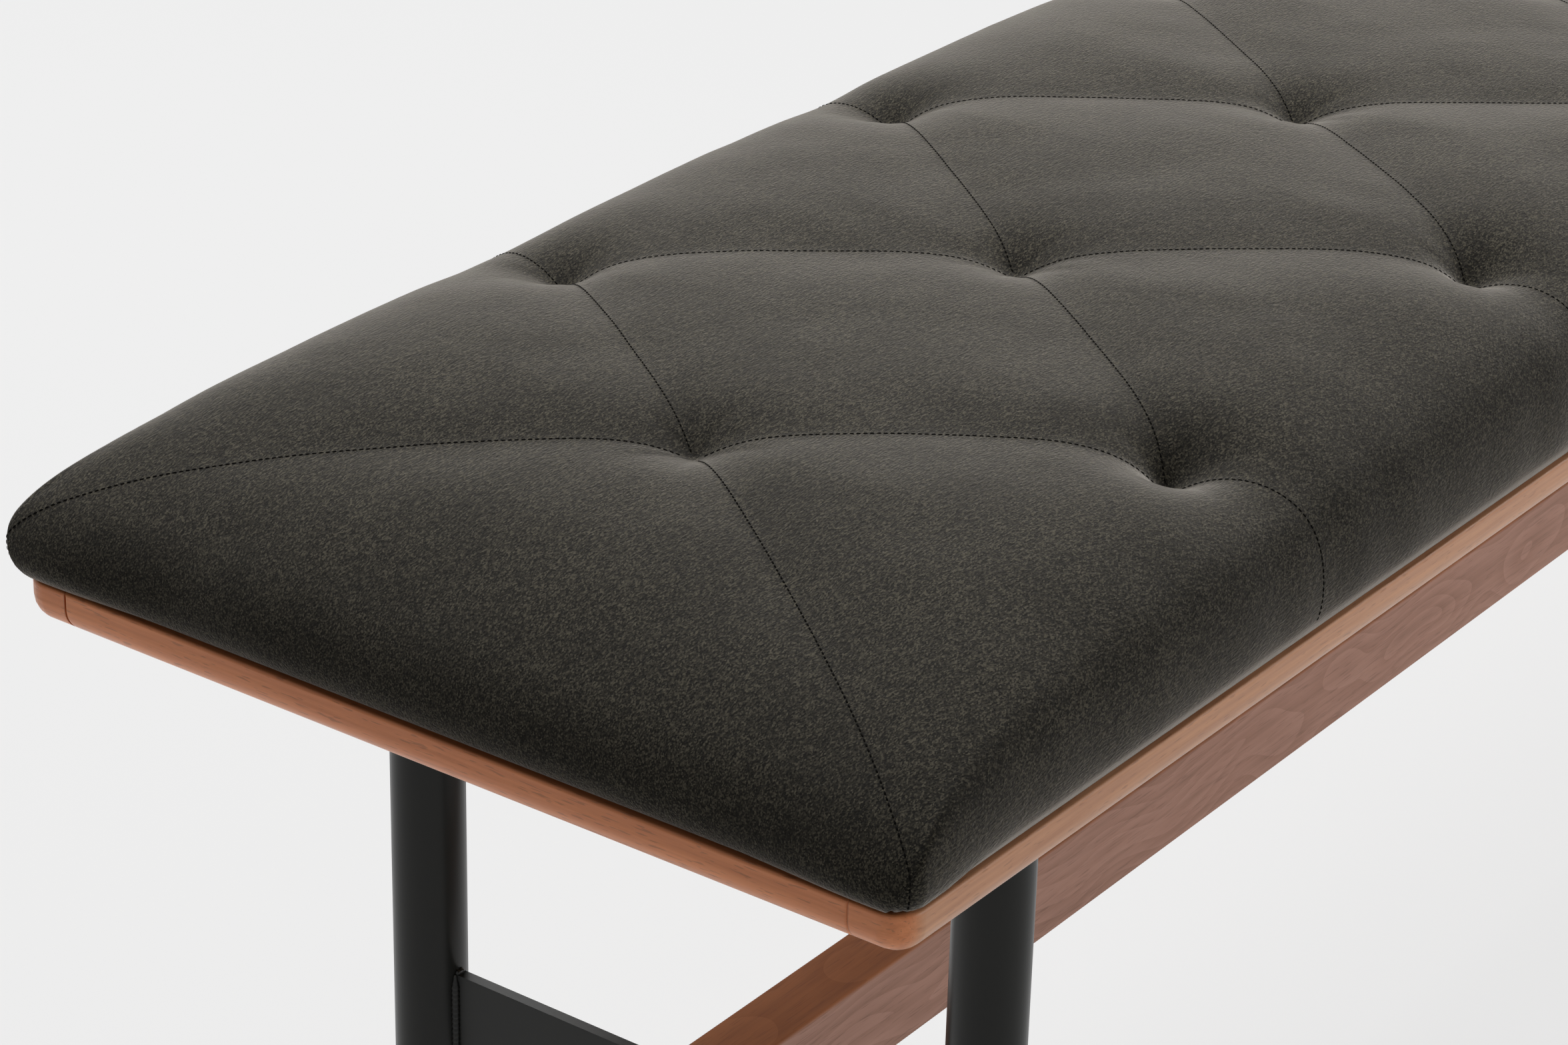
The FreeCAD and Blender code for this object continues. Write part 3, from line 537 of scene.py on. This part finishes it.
middle_tufts, side_tufts, edge_seams = [], [], []
for sign in (-1, 1):
    for end, depth in MIDDLE_ROW[: 4 if sign < 0 else 3]:
        middle_tufts.append((sign * (SEAT_LENGTH / 2 - end), 0.0, depth))
    for end, front, rear, edge in SIDE_ROWS:
        x = sign * (SEAT_LENGTH / 2 - end)
        side_tufts += [(x, -TUFT_SIDE, front), (x, TUFT_SIDE, rear)]
        edge_x = sign * (SEAT_LENGTH / 2 - edge)
        edge_seams += [((edge_x, j * HALF_DEPTH), (x, j * TUFT_SIDE)) for j in (-1, 1)]
middle_tufts.sort()
side_tufts.sort()
knots = sorted([x for x, _, _ in middle_tufts] + [x for x, y, _ in side_tufts if y < 0])
corners = [
    (i * (HALF_LENGTH - CORNER), j * (HALF_DEPTH - CORNER)) for i in (-1, 1) for j in (-1, 1)
]
corner_seams = [(corner, (math.copysign(knots[-1], corner[0]), 0.0)) for corner in corners]
top_seams = [
    ((knots[n + i], 0.0), (knots[n], j * TUFT_SIDE))
    for n in range(1, len(knots), 2)
    for i in (-1, 1)
    for j in (-1, 1)
]


def from_seam(x, y, seam):
    """Distance from a seam, in plan."""
    (ax, ay), (bx, by) = seam
    length = math.hypot(bx - ax, by - ay)
    tx, ty = (bx - ax) / length, (by - ay) / length
    run = np.clip((x - ax) * tx + (y - ay) * ty, 0, length)
    return np.hypot(x - ax - run * tx, y - ay - run * ty)


def seam_pull(x, y, end, side):
    """How far the seams draw the pad in."""
    drawn = np.zeros_like(x)
    corner_share = smooth((end - CORNER_SEAM_START) / CORNER_SEAM_RUN)
    corner_depth = SEAM_DEPTH * (CORNER_SEAM_LOW + CORNER_SEAM_GAIN * corner_share)
    edge_depth = EDGE_SEAM_LOW + EDGE_SEAM_GAIN * smooth(side / EDGE_SEAM_RUN)
    for seams, depth, reach in (
        (top_seams, SEAM_DEPTH, PILLOW_REACH),
        (corner_seams, corner_depth, PILLOW_REACH),
        (edge_seams, edge_depth, EDGE_SEAM_REACH),
    ):
        for seam in seams:
            away = np.hypot(from_seam(x, y, seam), SEAM_SOFTNESS)
            drawn = drawn + (depth * np.clip(1 - away / reach, 0, 1) ** SEAM_FALL) ** SEAM_JOIN
    return drawn ** (1 / SEAM_JOIN)


def seat_shape(x, y):
    """Points of the seat's surface over a plan."""
    height = base_height(x, y)
    step = SLOPE_STEP
    slope_x = (base_height(x + step, y) - base_height(x - step, y)) / (2 * step)
    slope_y = (base_height(x, y + step) - base_height(x, y - step)) / (2 * step)
    steep = np.hypot(slope_x, slope_y)
    limit = np.minimum(1, SLOPE_LIMIT / np.maximum(steep, 1e-6))
    slope_x, slope_y, steep = slope_x * limit, slope_y * limit, steep * limit
    lean = np.sqrt(1 + steep**2)
    normal = np.stack((-slope_x / lean, -slope_y / lean, 1 / lean), -1)

    end = HALF_LENGTH - np.abs(x)
    side = half_width(np.clip(end, 0, None)) - np.abs(y)
    pull = seam_pull(x, y, end, side)
    pleat = np.zeros_like(x)
    for number, (tx, ty, depth) in enumerate(middle_tufts + side_tufts):
        away = np.hypot(np.hypot(x - tx, y - ty), TUFT_SOFTNESS)
        turn = np.arctan2(y - ty, x - tx)
        pull = pull + depth * np.exp(-((away / TUFT_SPREAD) ** TUFT_FALL))
        ring = np.exp(-(((away - PLEAT_PLACE) / PLEAT_WIDTH) ** 2))
        folds = np.cos(9 * turn + 1.7 * number) + 0.6 * np.cos(14 * turn + 2.3 * number)
        pleat = pleat + ring * folds
    swell = lattice_noise(x / SWELL_SIZE, y / SWELL_SIZE, 3)
    swell = swell + 0.5 * lattice_noise(x / FINE_SWELL_SIZE, y / FINE_SWELL_SIZE, 8)
    pull = pull + PLEAT_DEPTH * pleat + SWELL_DEPTH * swell

    past_x = np.clip(np.abs(x) - (HALF_LENGTH - CORNER_TURN), 1e-3, None) * np.sign(x)
    past_y = np.clip(np.abs(y) - (HALF_DEPTH - CORNER_TURN), 1e-3, None) * np.sign(y)
    past = np.maximum(np.hypot(past_x, past_y), 1e-6)
    outward = np.stack((past_x / past, past_y / past, np.zeros_like(x)), -1)
    rise = np.clip(height / BULGE_TOP, 0, 1)
    puff, corner_puff = (
        np.sin(np.pi * rise**power) * np.clip(steep / STEEP_SIDE, 0, 1)
        for power in (BULGE_POWER, CORNER_POWER)
    )
    low = smooth(height / RIM_HEIGHT)
    points = np.stack((x, y, height), -1)
    corner = np.hypot(np.clip(end, 0, None), np.clip(side, 0, None))
    bulge = BULGE * puff + CORNER_BULGE * np.exp(-((corner / CORNER_RUN) ** 2)) * corner_puff
    points = points + outward * bulge[..., None] - normal * (pull * low)[..., None]
    points[..., 2] = np.maximum(points[..., 2], 0)
    return points


def spaced(low, high, count):
    """Even places, drawn a little towards both ends."""
    u = np.linspace(0, 1, count + 1)
    return low + (high - low) * (u - COLUMN_EASE * np.sin(2 * np.pi * u) / np.pi)


def seat_plan():
    """Plan of the seat's mesh: columns meet the tufts and rows follow the zigzag seams."""
    start = END_ZONE * np.linspace(0, 1, ZONE_COLUMNS) ** END_EASE
    ends = np.concatenate((start, np.linspace(END_ZONE, FIRST, END_COLUMNS)[1:]))
    columns = [ends]
    slant = (HALF_DEPTH - CORNER) * (FIRST - ends) / (FIRST - CORNER)
    seams = [np.minimum(slant, half_width(ends) - SEAM_INSET)]
    for gap, (low, high) in enumerate(zip(knots, knots[1:])):
        part = spaced(low + HALF_LENGTH, high + HALF_LENGTH, TUFT_COLUMNS)[1:]
        share = (part - low - HALF_LENGTH) / (high - low)
        columns.append(part)
        seams.append(TUFT_SIDE * (1 - share if gap % 2 else share))
    total = 2 * HALF_LENGTH
    columns.append(total - ends[-2::-1])
    seams.append(seams[0][-2::-1])
    x = np.concatenate(columns)
    seam = np.concatenate(seams)
    width = half_width(np.minimum(x, total - x))

    inner = 1 - (1 - np.linspace(0, 1, INNER_ROWS)) ** ROW_EASE
    room = width - seam
    shelf = np.minimum(SHELF, SHELF_SHARE * room)
    outer = np.linspace(0, 1, OUTER_ROWS)[1:] ** ROW_EASE
    wall = np.linspace(0, 1, WALL_ROWS)[1:]
    rows = [seam * share for share in inner]
    rows += [seam + (room - shelf) * share for share in outer]
    rows += [width - shelf * (1 - share) ** WALL_EASE for share in wall]
    half = np.stack(rows, 1)
    y = np.concatenate((-half[:, :0:-1], half), 1)
    return np.repeat((x - HALF_LENGTH)[:, None], y.shape[1], 1), y


def add_piece(name, mesh, material):
    """Link a mesh made here as an object with one material."""
    mesh.materials.append(material)
    piece = bpy.data.objects.new(name, mesh)
    scene.collection.objects.link(piece)
    return piece


def seat_pad():
    """The stuffed cover, closed underneath. Returns its skin, for the stitches to lie on."""
    x, y = seat_plan()
    points = seat_shape(x, y)
    columns, rows = x.shape
    index = np.arange(columns * rows).reshape(columns, rows)
    faces = np.stack((index[:-1, :-1], index[1:, :-1], index[1:, 1:], index[:-1, 1:]), -1)
    place = points.reshape(-1, 3).copy()
    place[:, 2] += PAD_FOOT
    mesh = bpy.data.meshes.new("seat_pad")
    mesh.from_pydata((place * MM).tolist(), [], faces.reshape(-1, 4).tolist())

    bm = bmesh.new()
    bm.from_mesh(mesh)
    bmesh.ops.remove_doubles(bm, verts=bm.verts, dist=0.00002)
    bmesh.ops.dissolve_degenerate(bm, edges=bm.edges, dist=0.00001)
    skin = BVHTree.FromBMesh(bm)
    rim = [edge for edge in bm.edges if edge.is_boundary]
    bmesh.ops.holes_fill(bm, edges=rim, sides=0)
    bmesh.ops.recalc_face_normals(bm, faces=bm.faces)
    for face in bm.faces:
        face.smooth = len(face.verts) < 5
    bm.to_mesh(mesh)
    bm.free()
    pad = add_piece("seat_pad", mesh, cover_velvet)
    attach(pad, "root")
    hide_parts("seat_cover", "seat_foam")
    return skin


def stitches(skin):
    """The seams' thread: short sunk stitches along every seam."""
    points, faces = [], []
    sides = STITCH_SIDES
    turns = [2 * math.pi * k / sides for k in range(sides)]
    last = sides * (len(STITCH_RINGS) - 1)
    for (ax, ay), (bx, by) in top_seams + corner_seams + edge_seams:
        ease = 1 if abs(ay) < HALF_DEPTH - 2 * CORNER else EDGE_SAMPLE_EASE
        share = np.linspace(0, 1, SEAM_SAMPLES) ** ease
        x, y = ax + (bx - ax) * share, ay + (by - ay) * share
        line = seat_shape(x, y) + (0, 0, PAD_FOOT)
        run = np.concatenate(([0], np.cumsum(np.linalg.norm(np.diff(line, axis=0), axis=1))))
        stop = run[-1] - STITCH_LENGTH - STITCH_MARGIN
        for start in np.arange(STITCH_MARGIN, stop, STITCH_LENGTH + STITCH_GAP):
            tips = []
            for place in (start, start + STITCH_LENGTH):
                spot = Vector([np.interp(place, run, line[:, k]) * MM for k in range(3)])
                found, normal, _, _ = skin.find_nearest(spot)
                tips.append(found)
            if min(tip.z for tip in tips) < (BASE_TOP + RIM_HEIGHT) * MM:
                continue
            out = normal if normal.z > -0.2 else -normal
            along = (tips[1] - tips[0]).normalized()
            aside = along.cross(out)
            middle = (tips[0] + tips[1]) / 2
            half = (tips[1] - tips[0]).length / 2
            first = len(points)
            for reach, girth in STITCH_RINGS:
                radius = STITCH_RADIUS * MM * girth
                for turn in turns:
                    points.append(
                        middle
                        + along * (reach * half)
                        + out * (radius * math.sin(turn))
                        + aside * (radius * math.cos(turn))
                    )
            for low in range(first, first + last, sides):
                for k in range(sides):
                    after = (k + 1) % sides
                    faces.append((low + k, low + after, low + sides + after, low + sides + k))
            faces.append(tuple(first + k for k in reversed(range(sides))))
            faces.append(tuple(first + last + k for k in range(sides)))
    mesh = bpy.data.meshes.new("seat_stitches")
    mesh.from_pydata(points, [], faces)
    mesh.polygons.foreach_set("use_smooth", [True] * len(mesh.polygons))
    piece = add_piece("seat_stitches", mesh, thread)
    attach(piece, "root")


stitches(seat_pad())


# Welds of the leg frames


def bead(bm, start, end, radius, sides=12):
    """A weld run: a rippled round bead from one point to another."""
    start, end = Vector(start), Vector(end)
    line = end - start
    turn = Vector((0, 0, 1)).rotation_difference(line).to_matrix()
    steps = max(4, int(line.length / WELD_STEP))
    angles = [2 * math.pi * k / sides for k in range(sides)]
    rings = []
    for n in range(steps + 1):
        share = n / steps
        tip = min(1.0, WELD_TAPER * share + WELD_TIP, WELD_TAPER * (1 - share) + WELD_TIP)
        wave = math.sin(2 * math.pi * share * line.length / RIPPLE_PITCH)
        swell = radius * tip * (1 + RIPPLE * wave)
        middle = start + line * share
        spokes = [Vector((swell * math.cos(a), swell * math.sin(a), 0)) for a in angles]
        rings.append([bm.verts.new(middle + turn @ spoke) for spoke in spokes])
    for low, high in zip(rings, rings[1:]):
        for k in range(sides):
            bm.faces.new((low[k], low[k - 1], high[k - 1], high[k]))
    bm.faces.new(rings[0])
    bm.faces.new(reversed(rings[-1]))


def ring_bead(bm, centre, major, minor, count=150, sides=10):
    """A weld run round a tube."""
    angles = [2 * math.pi * k / sides for k in range(sides)]
    rings = []
    for n in range(count):
        a = 2 * math.pi * n / count
        swell = minor * (1 + RIPPLE * math.sin(RING_RIPPLES * a))
        ring = []
        for b in angles:
            out = major + swell * math.cos(b)
            spoke = Vector((out * math.cos(a), out * math.sin(a), swell * math.sin(b)))
            ring.append(bm.verts.new(Vector(centre) + spoke))
        rings.append(ring)
    for n in range(count):
        low, high = rings[n - 1], rings[n]
        for k in range(sides):
            bm.faces.new((low[k], high[k], high[k - 1], low[k - 1]))


def welds(side):
    """All the weld runs of one leg frame."""
    plate_low, plate_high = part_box(f"{side}_crossbar")
    bm = bmesh.new()
    for row in ("front", "rear"):
        low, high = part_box(f"{side}_{row}_leg")
        middle = (low + high) / 2
        radius = (high.x - low.x) / 2
        inward = -math.copysign(1, middle.y)
        for face in (plate_low.x, plate_high.x):
            y = middle.y + inward * math.sqrt(radius**2 - (face - middle.x) ** 2)
            bead(bm, (face, y, plate_low.z), (face, y, plate_high.z), WELD)
        y = middle.y + inward * radius
        for z in (plate_low.z, plate_high.z):
            bead(bm, (plate_low.x, y, z), (plate_high.x, y, z), SHORT_WELD)
        ring_bead(bm, (middle.x, middle.y, high.z), radius, WELD)
    bmesh.ops.recalc_face_normals(bm, faces=bm.faces)
    for face in bm.faces:
        face.smooth = True
    mesh = bpy.data.meshes.new(f"{side}_welds")
    bm.to_mesh(mesh)
    bm.free()
    piece = add_piece(f"{side}_welds", mesh, steel)
    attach(piece, "root")


welds("left")
welds("right")


# Camera, light and floor


def add_camera():
    data = bpy.data.cameras.new("camera")
    data.sensor_fit = "HORIZONTAL"
    data.sensor_width = 36.0
    data.lens = 94.905
    data.clip_end = 100.0
    camera = bpy.data.objects.new("camera", data)
    camera.matrix_world = Matrix(
        (
            (0.59499759, 0.33155592, -0.73215336, -1.84129),
            (-0.80343306, 0.27001493, -0.53064796, -0.87408),
            (0.02175287, 0.90397047, 0.42704121, 1.10543),
            (0.0, 0.0, 0.0, 1.0),
        )
    )
    scene.collection.objects.link(camera)
    scene.camera = camera


def add_lamp(name, place, size, power):
    data = bpy.data.lights.new(name, "AREA")
    data.shape = "RECTANGLE"
    data.size, data.size_y = size
    data.energy = power
    lamp = bpy.data.objects.new(name, data)
    lamp.location = place
    aim = Vector(LAMP_TARGET) - Vector(place)
    lamp.rotation_euler = aim.to_track_quat("-Z", "Y").to_euler()
    scene.collection.objects.link(lamp)


def seen_directly(tree):
    """1 for camera, glossy and transmission rays, otherwise 0."""
    path = tree.nodes.new("ShaderNodeLightPath")
    total = path.outputs["Is Camera Ray"]
    for name in ("Is Glossy Ray", "Is Transmission Ray"):
        node = tree.nodes.new("ShaderNodeMath")
        node.operation = "MAXIMUM"
        tree.links.new(total, node.inputs[0])
        tree.links.new(path.outputs[name], node.inputs[1])
        total = node.outputs[0]
    return total


def add_world():
    """A faint even light, and a pale surround where the world is seen."""
    world = bpy.data.worlds.new("studio")
    world.use_nodes = True
    scene.world = world
    tree = world.node_tree
    light = tree.nodes["Background"]
    light.inputs["Color"].default_value = (1, 1, 1, 1)
    light.inputs["Strength"].default_value = AMBIENT
    shown = tree.nodes.new("ShaderNodeBackground")
    shown.inputs["Color"].default_value = (WORLD_SHOWN, WORLD_SHOWN, WORLD_SHOWN, 1)
    mix = tree.nodes.new("ShaderNodeMixShader")
    tree.links.new(seen_directly(tree), mix.inputs[0])
    tree.links.new(light.outputs[0], mix.inputs[1])
    tree.links.new(shown.outputs[0], mix.inputs[2])
    tree.links.new(mix.outputs[0], tree.nodes["World Output"].inputs[0])


def add_floor():
    """A pale floor that takes the shadow, and is clear from below."""
    g = Graph("floor_paint")
    mottle = g.noise(g.coords(), 3, detail=3)
    g.finish(colour=g.ramp(mottle, (0.3, (0.80,) * 3), (0.7, (0.82,) * 3)), roughness=0.9)
    glow = g.node("Emission", {"Color": (FLOOR_SHOWN,) * 3, "Strength": FLOOR_GLOW}).outputs[0]
    share = g.math("MULTIPLY", seen_directly(g.tree), GLOW_SHARE)
    paint = g.node("MixShader", {0: share, 1: g.shader.outputs[0], 2: glow}).outputs[0]
    under = g.node("NewGeometry").outputs["Backfacing"]
    clear = g.node("BsdfTransparent").outputs[0]
    surface = g.node("MixShader", {0: under, 1: paint, 2: clear}).outputs[0]
    g.tree.links.new(surface, g.tree.nodes["Material Output"].inputs[0])
    mesh = bpy.data.meshes.new("floor")
    reach = FLOOR_REACH
    mesh.from_pydata(
        [(-reach, -reach, 0), (reach, -reach, 0), (reach, reach, 0), (-reach, reach, 0)],
        [],
        [(0, 1, 2, 3)],
    )
    add_piece("floor", mesh, g.material)


add_camera()
add_world()
for lamp_row in LAMPS:
    add_lamp(*lamp_row)
add_floor()
